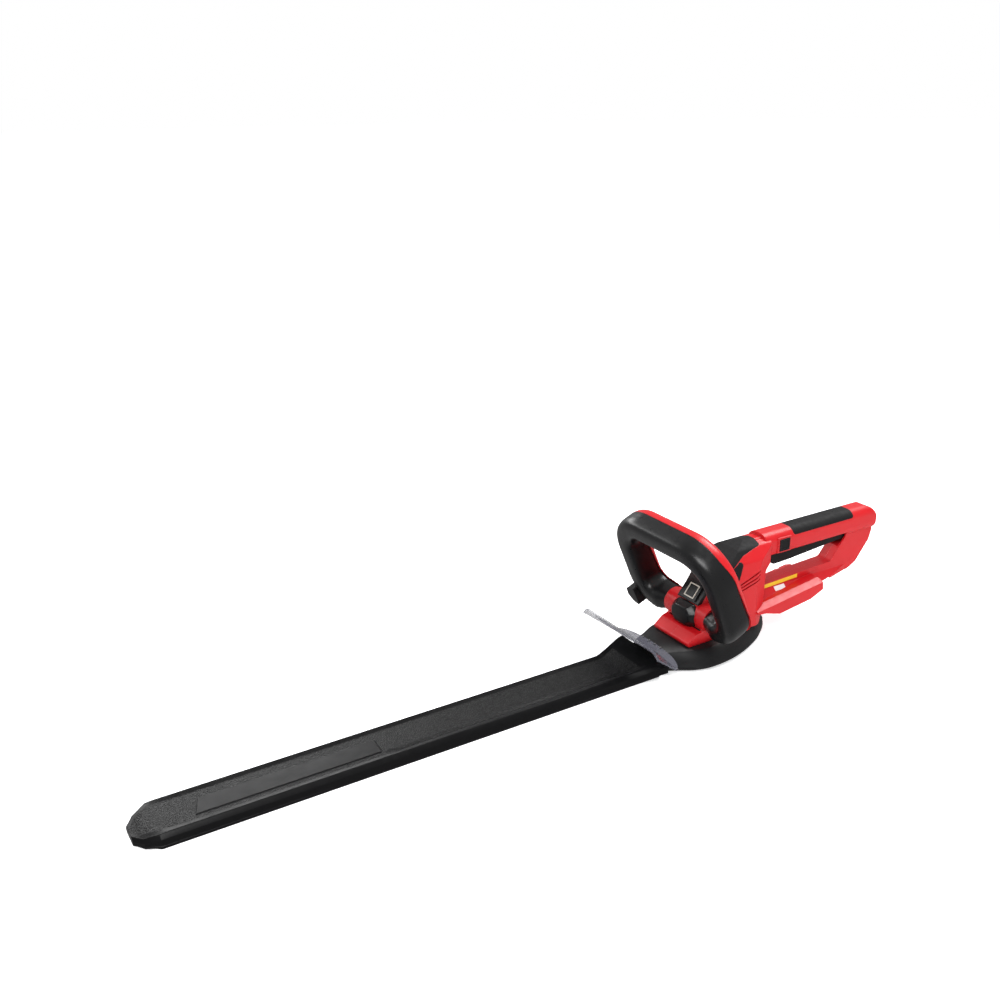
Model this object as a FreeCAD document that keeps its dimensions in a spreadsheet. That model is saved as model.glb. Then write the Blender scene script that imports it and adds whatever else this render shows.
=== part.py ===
import FreeCAD, Part
import math
import os
import re

# Cordless double-sided hedge trimmer with its blade sheath on, standing on the sheath and the base.
# +X points from the blade tip to the rear handle, -Y is the operator's left, +Z is up.
# The origin is on the resting plane, under the centre line, at the mouth of the sheath.

doc = FreeCAD.newDocument("hedge_trimmer")

# ---------------------------------------------------------------- driving dimensions (mm, degrees)
DIMENSIONS = {
    # blade sheath
    "sheath_length": 658, "sheath_width": 70, "sheath_height": 15.5, "sheath_wall": 1.6,
    "sheath_shoulder": 10.5, "sheath_bevel": 5, "nose_taper": 24, "nose_width": 28,
    "mouth_length": 52, "mouth_width": 100, "mouth_height": 24, "mouth_knee": 12,
    "panel_end": 268, "channel_groove": 0.8, "groove_half": 20,
    # cutting blades
    "blade_level": 3.8, "blade_thick": 2.4, "blade_gap": 0.2, "blade_tip": 634, "spine_width": 26,
    "tooth_pitch": 24, "tooth_count": 25, "tooth_reach": 29, "tooth_start": 30, "half_stroke": 6,
    "bolt_radius": 2.5, "sleeve_radius": 4, "bolt_pitch": 135, "bolt_count": 5, "bolt_first": 50,
    "bolt_bottom": 2, "bolt_head": 1.6, "nut_thick": 1.6, "bar_thick": 2,
    # crank drive and gear case
    "crank_place": 108, "cam_radius": 12, "crank_radius": 5, "gear_radius": 27, "pinion_radius": 6,
    "gear_bottom": 17, "gear_thick": 6, "lid_top": 16, "case_top": 46, "mesh_gap": 0.3,
    "bearing_radius": 9, "running_gap": 0.05,
    # motor
    "motor_radius": 22, "motor_height": 56, "rotor_radius": 2.5, "rotor_core": 14,
    # base cover and guard
    "base_front": 5, "base_length": 202, "rim_half": 60, "rim_height": 6, "shoulder_height": 15,
    "base_top": 27, "base_wall": 2.4, "guard_half": 76, "guard_rise": 43, "guard_reach": 42,
    "guard_thick": 2.2,
    # motor housing
    "housing_front": 36, "housing_half": 36, "housing_top": 142, "housing_rear": 196,
    "housing_wall": 2.6, "skin": 2, "front_half": 34, "shoulder_half": 20,
    # rear D handle
    "grip_start": 188, "grip_end": 396, "grip_level": 127, "grip_half": 18.5, "handle_end": 401,
    "bar_half": 24, "pad_start": 238, "pad_end": 354, "opening_front": 181, "opening_rear": 355,
    "bar_top": 70, "web_half": 12,
    # battery foot
    "foot_start": 163, "foot_length": 124, "foot_half": 36, "foot_level": 29, "foot_height": 17.5,
    "foot_tilt": 7, "foot_bevel": 10, "channel_start": 30, "channel_half": 28, "channel_depth": 8,
    "rail_gap": 22,
    # front loop handle
    "collar_place": 77, "collar_level": 59, "collar_radius": 17.5, "collar_set_back": 4,
    "collar_outer": 39, "loop_lean": 23, "loop_half": 87, "loop_rise": 125, "loop_depth": 36,
    "loop_thick": 31, "loop_corner": 46, "loop_foot": 30, "loop_wall": 2.6, "loop_split": 6, "loop_rear": 5,
    # switches
    "button_place": 220, "button_width": 12.4, "bezel_width": 18, "bezel_height": 17,
    "bar_travel": 4, "trigger_half": 8.5, "trigger_pivot": 350,
    # running clearance between moving and fixed plastic
    "clearance": 0.6,
}

sheet = doc.addObject("Spreadsheet::Sheet", "dims")
for row, (alias, number) in enumerate(DIMENSIONS.items(), start=1):
    sheet.set(f"A{row}", alias)
    sheet.set(f"B{row}", str(number))
    sheet.setAlias(f"B{row}", alias)
doc.recompute()


class Sizes:
    """Reads a driving dimension out of the sheet, as sizes.name."""

    def __getattr__(self, alias):
        return float(sheet.get(alias))


sizes = Sizes()
pieces = []


# ---------------------------------------------------------------- helpers
def formula(text):
    """Turns 'blade_thick * 2' into an expression on the sheet's cells."""
    def named(word):
        return "dims." + word.group() if word.group() in DIMENSIONS else word.group()

    return re.sub(r"[a-z_]+", named, str(text))


def number(text):
    """The value of a formula, for geometry that is worked out here."""
    return float(sheet.evalExpression(formula(text)))


def bind(feature, **formulas):
    for name, text in formulas.items():
        feature.setExpression(name, formula(text))


def move(feature, x="0", y="0", z="0"):
    for axis, text in (("x", x), ("y", y), ("z", z)):
        feature.setExpression("Placement.Base." + axis, formula(text))
    return feature


def box(name, x, y, z, length, width, height):
    feature = doc.addObject("Part::Box", name)
    bind(feature, Length=length, Width=width, Height=height)
    return move(feature, x, y, z)


def cylinder(name, radius, height, x="0", y="0", z="0", axis="Z"):
    feature = doc.addObject("Part::Cylinder", name)
    bind(feature, Radius=radius, Height=height)
    turns = {"Z": FreeCAD.Rotation(), "X": FreeCAD.Rotation(FreeCAD.Vector(0, 1, 0), 90),
             "Y": FreeCAD.Rotation(FreeCAD.Vector(1, 0, 0), -90)}
    feature.Placement.Rotation = turns[axis]
    return move(feature, x, y, z)


def fuse(name, *shapes):
    feature = doc.addObject("Part::MultiFuse", name)
    feature.Shapes = list(shapes)
    return feature


def common(name, *shapes):
    feature = doc.addObject("Part::MultiCommon", name)
    feature.Shapes = list(shapes)
    return feature


def cut(name, base, *tools):
    feature = doc.addObject("Part::Cut", name)
    feature.Base = base
    feature.Tool = tools[0] if len(tools) == 1 else fuse(name + "_tools", *tools)
    return feature


def compound(name, *shapes):
    feature = doc.addObject("Part::Compound", name)
    feature.Links = list(shapes)
    return feature


def piece(label, feature):
    """Marks a feature as one physical piece of the tool, which gets its own file."""
    feature.Label = label
    pieces.append(feature)
    return feature


def mirrored(points):
    """Closes an outline given on one side by its mirror image in the second coordinate."""
    return list(points) + [(u, -v) for u, v in reversed(points) if abs(v) > 1e-9]


def inset(points, distance):
    """Moves every side of a closed outline inward by the distance."""
    count = len(points)
    area = sum(points[i - 1][0] * points[i][1] - points[i][0] * points[i - 1][1] for i in range(count))
    side = math.copysign(distance, area)
    moved = []
    for index in range(count):
        (ax, ay), (bx, by), (cx, cy) = points[index - 1], points[index], points[(index + 1) % count]
        first = math.hypot(bx - ax, by - ay)
        last = math.hypot(cx - bx, cy - by)
        nx, ny = -(by - ay) / first, (bx - ax) / first
        mx, my = -(cy - by) / last, (cx - bx) / last
        scale = side / (1 + nx * mx + ny * my)
        moved.append((bx + (nx + mx) * scale, by + (ny + my) * scale))
    return moved


def section(points):
    """Closes a cross-section given on one side by its mirror image in the first coordinate."""
    return list(points) + [(-u, v) for u, v in reversed(points) if abs(u) > 1e-9]


def tube(name, outer, inner, height, x, y, z):
    """A plain round bush or ring standing along Z."""
    rod = cylinder(name + "_rod", outer, height, x, y, z)
    return cut(name, rod, cylinder(name + "_bore", inner, f"({height}) + 2", x, y, f"({z}) - 1"))


def rounded_edges(points, radius):
    """Line and arc edges along a closed outline whose corners are rounded where there is room."""
    corners = [FreeCAD.Vector(u, v, 0) for u, v in points]
    count = len(corners)
    starts, arcs = [], []
    for index, corner in enumerate(corners):
        before = corners[index - 1] - corner
        after = corners[(index + 1) % count] - corner
        half = before.getAngle(after) / 2
        room = 0.45 * min(before.Length, after.Length)
        reach = min(room, radius / math.tan(half)) if radius and half < 1.5 else 0
        if reach < 0.05:
            starts.append((corner, corner))
            arcs.append(None)
            continue
        first = corner + before.normalize() * reach
        last = corner + after.normalize() * reach
        fillet = reach * math.tan(half)
        inward = (before + after).normalize()
        middle = corner + inward * (fillet / math.sin(half) - fillet)
        starts.append((first, last))
        arcs.append(Part.Arc(first, middle, last))
    edges = []
    for index in range(count):
        if arcs[index]:
            edges.append(arcs[index])
        here, there = starts[index][1], starts[(index + 1) % count][0]
        if here.distanceToPoint(there) > 1e-6:
            edges.append(Part.LineSegment(here, there))
    return edges


def sketch_on(body, name, plane, edges, offset="0"):
    sketch = body.newObject("Sketcher::SketchObject", name)
    origin = next(item for item in body.Origin.OriginFeatures if item.Role == plane + "_Plane")
    sketch.AttachmentSupport = [(origin, "")]
    sketch.MapMode = "FlatFace"
    sketch.setExpression("AttachmentOffset.Base.z", formula(offset))
    sketch.addGeometry(edges, False)
    return sketch


def prism(name, plane, outlines, low, high, radius=0):
    """A padded sketch: the first outline is the edge and the others are holes.

    The sketch lies on the named plane and the pad fills low to high along that plane's axis.
    """
    body = doc.addObject("PartDesign::Body", name)
    flip = plane == "XZ"
    start = f"-({high})" if flip else low
    edges = []
    for outline in outlines:
        edges += outline if hasattr(outline[0], "StartPoint") or isinstance(outline[0], Part.Circle) \
            else rounded_edges(outline, radius)
    sketch = sketch_on(body, name + "_sketch", plane, edges, start)
    pad = body.newObject("PartDesign::Pad", name + "_pad")
    pad.Profile = sketch
    pad.setExpression("Length", formula(f"({high}) - ({low})"))
    return body


def circle(u, v, radius):
    return [Part.Circle(FreeCAD.Vector(u, v, 0), FreeCAD.Vector(0, 0, 1), radius)]


def loft(name, wires):
    """A ruled solid through closed wires, for shapes that change section."""
    feature = doc.addObject("Part::Feature", name)
    feature.Shape = Part.makeLoft(wires, True, True)
    return feature


def flat_wire(points, level):
    vertices = [FreeCAD.Vector(u, v, level) for u, v in points]
    return Part.makePolygon(vertices + vertices[:1])


# where the screws come up through the base into the gear case, and into the guard
BASE_SCREWS = ((60, 25), (60, -25), (159, 16), (159, -16))
GUARD_SCREWS = ((12.5, -18), (12.5, -6), (12.5, 6), (12.5, 18))

# levels of the stack that lies over the blades: the guide bar, then the gear case on top of it
BAR_LEVEL = "(blade_level + 2 * blade_thick + 2 * blade_gap)"
CASE_BOTTOM = f"({BAR_LEVEL} + bar_thick)"


# ---------------------------------------------------------------- blade sheath
def sheath_outline(distance):
    tip = -sizes.sheath_length + distance
    half = sizes.sheath_width / 2 - distance
    shoulder = -sizes.sheath_length + sizes.nose_taper + distance / 2
    return mirrored([(tip, (sizes.nose_width - distance) / 2), (shoulder, half), (0, half)])


def sheath_section(distance, low):
    half, top = sizes.sheath_width / 2 - distance, sizes.sheath_height - distance
    return section([(half, low), (half, sizes.sheath_shoulder - distance / 2),
                    (half - sizes.sheath_bevel + distance / 2, top)])


def mouth(name, distance):
    """The funnel at the sheath's mouth, from the plain section to the flared one."""
    low = sizes.sheath_wall
    foot = sizes.sheath_width / 2 - distance
    wires = []
    for x, half, knee, shoulder, top, bevel in (
            (-sizes.mouth_length, sizes.sheath_width / 2, low + 4, sizes.sheath_shoulder, sizes.sheath_height,
             sizes.sheath_bevel),
            (0, sizes.mouth_width / 2, sizes.mouth_knee, sizes.mouth_height - 3, sizes.mouth_height, 3)):
        side = half - distance
        points = section([(foot, low), (side, knee + distance / 2), (side, shoulder - distance / 2),
                          (side - bevel + distance / 2, top - distance)])
        vertices = [FreeCAD.Vector(x, u, v) for u, v in points]
        wires.append(Part.makePolygon(vertices + vertices[:1]))
    return loft(name, wires)


def build_sheath():
    wall = sizes.sheath_wall
    shells = []
    for word, distance, low, high in (("outer", 0, wall, "sheath_height"),
                                      ("inner", wall, 0, "sheath_height - sheath_wall")):
        plan = prism(f"sheath_{word}_plan", "XY", [sheath_outline(distance)], str(low), high, 3)
        across = prism(f"sheath_{word}_section", "YZ", [sheath_section(distance, low)],
                       "-sheath_length - 1", "1")
        shells.append(common(f"sheath_{word}", plan, across))
    groove = mirrored([(-sizes.sheath_length + sizes.panel_end, sizes.groove_half),
                       (-sizes.mouth_length + 4, sizes.groove_half)])
    channel = prism("sheath_channel", "XY", [groove], "sheath_height - channel_groove",
                    "sheath_height + 1", 4)
    shell = fuse("sheath_with_mouth", shells[0], mouth("mouth_outer", 0))
    hollow = fuse("sheath_hollow", shells[1], mouth("mouth_inner", wall), channel)
    piece("sheath_cover", cut("sheath_cover", shell, hollow))
    tray = prism("sheath_tray", "XY", [sheath_outline(0)], "0", "sheath_wall", 3)
    piece("sheath_tray", tray)


# ---------------------------------------------------------------- blades, guide bar and bolts
def blade_outline():
    """The comb edge of a blade: a spine with trapezoid teeth along both sides."""
    spine = sizes.spine_width / 2
    pitch = sizes.tooth_pitch
    points = [(-sizes.blade_tip, spine - 4)]
    for index in range(int(sizes.tooth_count)):
        root = -sizes.tooth_start - (sizes.tooth_count - index) * pitch + pitch * 0.3
        points += [(root - 2, spine), (root + 3, sizes.tooth_reach), (root + 8, sizes.tooth_reach),
                   (root + 13, spine)]
    return points + [(-sizes.tooth_start + pitch, spine - 3)]


def build_blades():
    crank = sizes.crank_place
    stroke = sizes.half_stroke
    sweep = sizes.cam_radius + stroke + sizes.clearance
    yoke = [(crank - sweep - 14, 13), (crank - sweep - 6, sweep + 6), (crank + sweep + 12, sweep + 6)]
    window = mirrored([(crank - sweep - stroke, sweep), (crank + sweep + stroke, sweep)])
    slot_half = sizes.sleeve_radius + sizes.half_stroke + sizes.clearance
    slot_side = sizes.sleeve_radius + sizes.clearance / 2
    slots = []
    for index in range(int(sizes.bolt_count)):
        middle = -sizes.bolt_first - index * sizes.bolt_pitch
        slots.append(mirrored([(middle - slot_half, slot_side), (middle + slot_half, slot_side)]))
    for label, level in (("lower_blade", "blade_level"),
                         ("upper_blade", "blade_level + blade_thick + blade_gap")):
        comb = mirrored(blade_outline() + yoke)
        piece(label, prism(label, "XY", [comb, window] + slots, level, f"{level} + blade_thick"))
    bolts_at = [-sizes.bolt_first - index * sizes.bolt_pitch for index in range(int(sizes.bolt_count))]
    holes = [circle(x, 0, sizes.bolt_radius) for x in bolts_at]
    bar = mirrored([(-sizes.blade_tip + 12, 5), (-sizes.blade_tip + 24, 11), (38, 11)])
    piece("guide_bar", prism("guide_bar", "XY", [bar] + holes, BAR_LEVEL, f"{BAR_LEVEL} + bar_thick"))
    bolts, sleeves, nuts = [], [], []
    for index, x in enumerate(bolts_at):
        shank = cylinder(f"bolt_shank_{index}", "bolt_radius",
                         f"{BAR_LEVEL} + bar_thick + nut_thick - bolt_bottom", str(x), "0", "bolt_bottom")
        head = cylinder(f"bolt_head_{index}", "5", "bolt_head", str(x), "0", "bolt_bottom")
        bolts.append(fuse(f"bolt_{index}", shank, head))
        sleeves.append(tube(f"sleeve_{index}", "sleeve_radius", "bolt_radius",
                            f"{BAR_LEVEL} - bolt_bottom - bolt_head", str(x), "0", "bolt_bottom + bolt_head"))
        nuts.append(tube(f"nut_{index}", "4.5", "bolt_radius", "nut_thick", str(x), "0",
                         f"{BAR_LEVEL} + bar_thick"))
    piece("blade_bolts", compound("blade_bolts", *bolts))
    piece("blade_sleeves", compound("blade_sleeves", *sleeves))
    piece("blade_nuts", compound("blade_nuts", *nuts))


# ---------------------------------------------------------------- crank drive, gear case and motor
def gear_outline(teeth, radius, middle, depth):
    """Trapezoid teeth that stop just short of the pitch circle, so that a mating gear stays clear."""
    points = []
    tooth = ((-0.25, radius - depth), (-0.12, radius), (0.12, radius), (0.25, radius - depth))
    for index in range(teeth):
        for share, reach in tooth:
            angle = 2 * math.pi * (index + share) / teeth
            points.append((middle + reach * math.cos(angle), reach * math.sin(angle)))
    return points


def build_drive():
    crank, pinion = "crank_place", "crank_place + gear_radius + pinion_radius"
    crank_x, pinion_x = number(crank), number(pinion)
    piece("crank_shaft", cylinder("crank_shaft", "crank_radius", "27.2", crank, "0", "2.8"))
    for label, level, throw in (("lower_cam", "blade_level", -1),
                                ("upper_cam", "blade_level + blade_thick + blade_gap", 1)):
        middle = crank_x + throw * sizes.half_stroke
        outline = [circle(middle, 0, sizes.cam_radius), circle(crank_x, 0, sizes.crank_radius)]
        piece(label, prism(label, "XY", outline, level, f"{level} + blade_thick"))
    gear = [gear_outline(36, sizes.gear_radius - sizes.mesh_gap / 2, crank_x, 1.6),
            circle(crank_x, 0, sizes.crank_radius)]
    piece("drive_gear", prism("drive_gear", "XY", gear, "gear_bottom", "gear_bottom + gear_thick"))
    small = [gear_outline(8, sizes.pinion_radius - sizes.mesh_gap / 2, pinion_x, 1.4),
             circle(pinion_x, 0, sizes.rotor_radius)]
    piece("pinion", prism("pinion", "XY", small, "gear_bottom - 0.6", "gear_bottom + gear_thick + 2"))
    bearing = ("bearing_radius", "crank_radius + running_gap")
    piece("lower_crank_bearing", tube("lower_crank_bearing", *bearing, f"lid_top - {CASE_BOTTOM}", crank, "0",
                                      CASE_BOTTOM))
    piece("upper_crank_bearing", tube("upper_crank_bearing", *bearing, "5", crank, "0", "26"))
    # aluminium gear case: a flat lid that also carries the guide bar, and the deep half above it
    lid_edge = mirrored([(24, 14), (46, 30), (120, 31), (168, 21)])
    lid_holes = [circle(crank_x, 0, sizes.bearing_radius)] + [circle(x, y, 2) for x, y in BASE_SCREWS]
    piece("gear_case_lid", prism("gear_case_lid", "XY", [lid_edge] + lid_holes, CASE_BOTTOM, "lid_top", 6))
    case_edge = mirrored([(72, 22), (82, 31), (120, 31), (168, 22)])
    block = prism("case_block", "XY", [case_edge], "lid_top", "case_top", 8)
    hollow = fuse("case_hollow",
                  cylinder("case_gear_room", "gear_radius + 1.2", "10", crank, "0", "lid_top"),
                  cylinder("case_pinion_room", "pinion_radius + 2.5", "14", pinion, "0", "lid_top"),
                  cylinder("case_bearing_seat", "bearing_radius", "15", crank, "0", "lid_top"),
                  cylinder("case_shaft_hole", "rotor_radius + 0.5", "40", pinion, "0", "lid_top"))
    piece("gear_case", cut("gear_case", block, hollow))
    # motor standing on the gear case
    can = cylinder("can_outer", "motor_radius", "motor_height", pinion, "0", "case_top")
    room = cylinder("can_room", "motor_radius - 1.6", "motor_height - 5", pinion, "0", "case_top + 2.5")
    bore = cylinder("can_bore", "rotor_radius + running_gap", "motor_height + 2", pinion, "0", "case_top - 1")
    piece("motor_can", cut("motor_can", can, room, bore))
    piece("motor_magnets", tube("motor_magnets", "motor_radius - 1.6", "rotor_core + 1.2",
                                "motor_height - 16", pinion, "0", "case_top + 7"))
    piece("rotor_core", tube("rotor_core", "rotor_core", "rotor_radius", "motor_height - 18", pinion, "0",
                             "case_top + 8"))
    piece("motor_shaft", cylinder("motor_shaft", "rotor_radius", "case_top + motor_height - 3", pinion, "0",
                                  "gear_bottom - 0.6"))
    fan_level = number("case_top + motor_height + 2")
    hub = cylinder("fan_hub", "6", "7", pinion, "0", str(fan_level))
    disc = cylinder("fan_disc", "motor_radius - 2", "1.4", pinion, "0", str(fan_level))
    vanes = []
    for index in range(9):
        vane = doc.addObject("Part::Box", f"fan_vane_{index}")
        bind(vane, Length="motor_radius - 7.5", Width="1.2", Height="6")
        turn = FreeCAD.Rotation(FreeCAD.Vector(0, 0, 1), 40 * index)
        foot = FreeCAD.Vector(pinion_x, 0, fan_level) + turn.multVec(FreeCAD.Vector(5, -0.6, 0))
        vane.Placement = FreeCAD.Placement(foot, turn)
        vanes.append(vane)
    wheel = fuse("fan_wheel", hub, disc, *vanes)
    bore = cylinder("fan_bore", "rotor_radius", "12", pinion, "0", str(fan_level - 1))
    piece("cooling_fan", cut("cooling_fan", wheel, bore))


# ---------------------------------------------------------------- base cover and hand guard
def hull_outline(swell, front, rear):
    """Plan outline of the base at one level: its width as a share of the rim's, and how far its
    front and rear ends stand in from the rim's."""
    start = sizes.base_front + front
    length = sizes.base_length - rear - front
    shares = ((0.0, 0.53), (0.10, 0.70), (0.21, 0.91), (0.32, 1.0), (0.55, 0.9), (0.79, 0.58), (0.95, 0.22),
              (1.0, 0.0))
    return mirrored([(start + length * along, sizes.rim_half * swell * across) for along, across in shares])


def hull(name, levels):
    """A stack of ruled lofts through the base's outlines, with the level of each."""
    wires = [flat_wire(outline, level) for outline, level in levels]
    layers = [Part.makeLoft(wires[index:index + 2], True, True) for index in range(len(wires) - 1)]
    feature = doc.addObject("Part::Feature", name)
    feature.Shape = layers[0].fuse(layers[1:]).removeSplitter()
    return feature


def build_base():
    wall = sizes.base_wall
    outside = [(hull_outline(0.84, 7, 30), 0), (hull_outline(1, 0, 0), sizes.rim_height),
               (hull_outline(0.95, 0, 1), sizes.shoulder_height), (hull_outline(0.76, 1, 11), sizes.base_top)]
    inside = [(inset(outline, wall), level) for outline, level in outside]
    inside[0] = (inside[0][0], wall)
    inside[3] = (inside[3][0], sizes.base_top - wall)
    shell = hull("base_outer", outside)
    room = hull("base_inner", inside)
    case_edge = mirrored([(64, 31.4), (122, 31.4), (172, 23)])
    case_hole = prism("base_case_hole", "XY", [case_edge], "shoulder_height", "base_top + 1", 5)
    blade_slot = box("base_blade_slot", "base_front - 6", "-spine_width / 2 - 1", "blade_level - 1", "40",
                     "spine_width + 2", "10")
    bosses, holes, screws = [], [], []
    for index, (x, y) in enumerate(GUARD_SCREWS):
        holes.append(cylinder(f"base_guard_hole_{index}", "1.6", "6", str(x), str(y), "base_top - 4"))
    for index, (x, y) in enumerate(BASE_SCREWS):
        bosses.append(cylinder(f"base_boss_{index}", "5", f"{CASE_BOTTOM} - 1", str(x), str(y), "1"))
        holes.append(cylinder(f"base_screw_hole_{index}", "2.1", "30", str(x), str(y), "-1"))
        holes.append(cylinder(f"base_head_hole_{index}", "4.2", "4", str(x), str(y), "-1"))
        shank = cylinder(f"base_screw_shank_{index}", "2", "12.4", str(x), str(y), "3")
        head = cylinder(f"base_screw_head_{index}", "3.8", "2", str(x), str(y), "1")
        screws.append(fuse(f"base_screw_{index}", shank, head))
    hollow = cut("base_hollow", room, *bosses)
    cover = cut("base_cover_blank", shell, hollow, case_hole, blade_slot)
    piece("base_cover", cut("base_cover", cover, *holes))
    piece("base_screws", compound("base_screws", *screws))
    piece("blade_wiper", box("blade_wiper", "base_front + 13", "-15", "base_wall + 0.2", "8", "30",
                             "blade_level - base_wall - 0.4"))


def build_guard():
    """A clear sheet that leans forward from a crescent flange on top of the base."""
    thick = sizes.guard_thick
    foot = sizes.base_top
    top = (-sizes.guard_reach - 2, foot + sizes.guard_rise)
    strip = [(4, foot), (4, foot + thick), (-1, foot + thick), top, (top[0] - 1.7, top[1] - 1.4),
             (-3.4, foot)]
    half = sizes.guard_half
    front = section([(half - 9, foot - 2), (half - 1, foot + 10), (half + 3, foot + 32),
                     (half - 4, top[1] + 1), (0, top[1] - 4)])
    leaning = common("guard_sheet", prism("guard_strip", "XZ", [strip], "-guard_half - 6", "guard_half + 6"),
                     prism("guard_front", "YZ", [front], "-60", "30", 6))
    flange = prism("guard_flange", "XY", [mirrored([(-1.5, 64), (2, 58), (11, 34), (16, 12)])], "base_top",
                   "base_top + guard_thick", 5)
    holes, bosses, screws = [], [], []
    for index, (x, y) in enumerate(GUARD_SCREWS):
        place = (str(x), str(y))
        bosses.append(cylinder(f"guard_boss_{index}", "3", "5.4", *place, "base_top"))
        holes.append(cylinder(f"guard_hole_{index}", "1.3", "5.4", *place, "base_top - 1"))
        head = cylinder(f"guard_screw_head_{index}", "2.8", "1.6", *place, "base_top - base_wall - 1.6")
        shank = cylinder(f"guard_screw_shank_{index}", "1.3", "base_wall + 4", *place, "base_top - base_wall")
        screws.append(fuse(f"guard_screw_{index}", head, shank))
    piece("hand_guard", cut("hand_guard", fuse("guard_blank", leaning, flange, *bosses), *holes))
    piece("guard_screws", compound("guard_screws", *screws))


# ---------------------------------------------------------------- motor housing and rear handle
def motor_side(distance=0):
    top = sizes.housing_top
    points = [(sizes.housing_front, sizes.base_top), (58, 43), (69, 45), (70, 75.5),
              (84, 93), (97, 106), (108, 117), (120, 128), (136, top - 5), (158, top), (186, top - 1),
              (sizes.housing_rear, top - 1), (sizes.housing_rear, 109), (sizes.opening_front, 100),
              (sizes.opening_front, 66), (178, 52), (172, sizes.base_top)]
    return inset(points, distance) if distance else points


def motor_section(distance=0):
    half = sizes.housing_half
    top = sizes.housing_top
    points = section([(half - 3, 20), (half, 50), (half, top - 42), (half - 5, top - 20),
                      (half - 17, top - 5), (0, top + 1)])
    return inset(points, distance) if distance else points


def motor_plan(distance=0):
    half = sizes.housing_half
    points = mirrored([(sizes.housing_front, sizes.front_half), (93, half), (158, half),
                       (sizes.housing_rear, half - 15)])
    return inset(points, distance) if distance else points


def motor_volume(name, distance, radius):
    """The motor housing's volume, as its side, front and top outlines have in common."""
    blank = common(name + "_blank", prism(name + "_side", "XZ", [motor_side(distance)], "-40", "40", radius),
                   prism(name + "_front", "YZ", [motor_section(distance)], "30", "210", 10),
                   prism(name + "_plan", "XY", [motor_plan(distance)], "20", "160", radius))
    half = sizes.shoulder_half - distance
    low = f"collar_level + 4 - {distance}"
    shoulders = []
    for side, word in ((1, "right"), (-1, "left")):
        edge = [(20, side * 60), (20, side * half), (84, side * half), (104, side * (half + 5)),
                (130, side * 38), (130, side * 60)]
        shoulders.append(prism(f"{name}_{word}_shoulder", "XY", [edge], low, "170", 4))
    return cut(name, blank, *shoulders)


def handle_frame(name):
    """The D handle behind the motor: lower bar, rear web and grip around the finger opening."""
    end, top = sizes.handle_end, sizes.grip_level + sizes.grip_half
    outer = [(158, 42), (240, 45), (300, 53), (358, 55), (374, 63), (end - 4, 92), (end, 106),
             (end, top - 14), (end - 10, top), (158, top)]
    opening = [(sizes.opening_front, sizes.bar_top), (sizes.opening_rear - 33, sizes.bar_top + 5),
               (sizes.opening_rear, sizes.grip_level - 12), (sizes.opening_front, sizes.grip_level - 12)]
    profile = prism(name + "_profile", "XZ", [rounded_edges(outer, 16) + rounded_edges(opening, 6)],
                    "-40", "40")
    web = prism(name + "_web", "XY", [mirrored([(158, sizes.web_half), (end + 2, sizes.web_half)])], "40",
                "grip_level + 6")
    low, half = sizes.bar_top, sizes.bar_half
    across = prism(name + "_bar_section", "YZ", [section([(half, 40), (half, low - 19), (1, low + 5.2)])],
                   "158", "375", 4)
    plan = mirrored([(158, half), (296, half), (352, sizes.web_half), (375, 10)])
    along = prism(name + "_bar_plan", "XY", [plan], "30", "90", 8)
    grip = prism(name + "_grip", "YZ", [grip_section(0)], "grip_start", "handle_end + 2", 14)
    return common(name, profile, fuse(name + "_blank", web, common(name + "_bar", across, along), grip))


def grip_section(distance):
    half, level = sizes.grip_half - distance, sizes.grip_level
    return section([(half, level - half), (half, level + half)])


def tilted(feature, x=0, y=0, z=0):
    """Places a piece in the battery foot's own coordinates, tilted with the slide direction."""
    turn = FreeCAD.Rotation(FreeCAD.Vector(0, 1, 0), -sizes.foot_tilt)
    corner = FreeCAD.Vector(sizes.foot_start, 0, sizes.foot_level)
    feature.Placement = FreeCAD.Placement(corner + turn.multVec(FreeCAD.Vector(x, y, z)), turn)
    return feature


def in_foot(label, x, y, z, length, width, height):
    """A block given in the battery foot's own coordinates."""
    block = doc.addObject("Part::Box", label)
    bind(block, Length=length, Width=width, Height=height)
    return tilted(block, x, y, z)


def foot_volume():
    """The battery foot with bevelled shoulders, its underside cut away at the front and the rear."""
    half, height = sizes.foot_half, sizes.foot_height
    across = prism("foot_section", "YZ",
                   [section([(half, 0), (half, height), (half - sizes.foot_bevel, height + 4.5)])], "0",
                   "foot_length")
    start, end = sizes.foot_start, sizes.foot_start + sizes.foot_length
    side = [(start, 43), (start + 16, 41.5), (start + 42, 34), (start + 99, 41), (end, 51), (end, 70),
            (start, 70)]
    return common("foot_outer", tilted(across), prism("foot_side", "XZ", [side], "-40", "40", 2))


def skin_region(label, outer, core, outline, low, high):
    """A thin moulded skin: the layer between two volumes, inside a region seen from the side."""
    region = prism(label + "_region", "XZ", [outline], low, high, 4)
    return cut(label, common(label + "_blank", outer, region), core)


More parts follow.
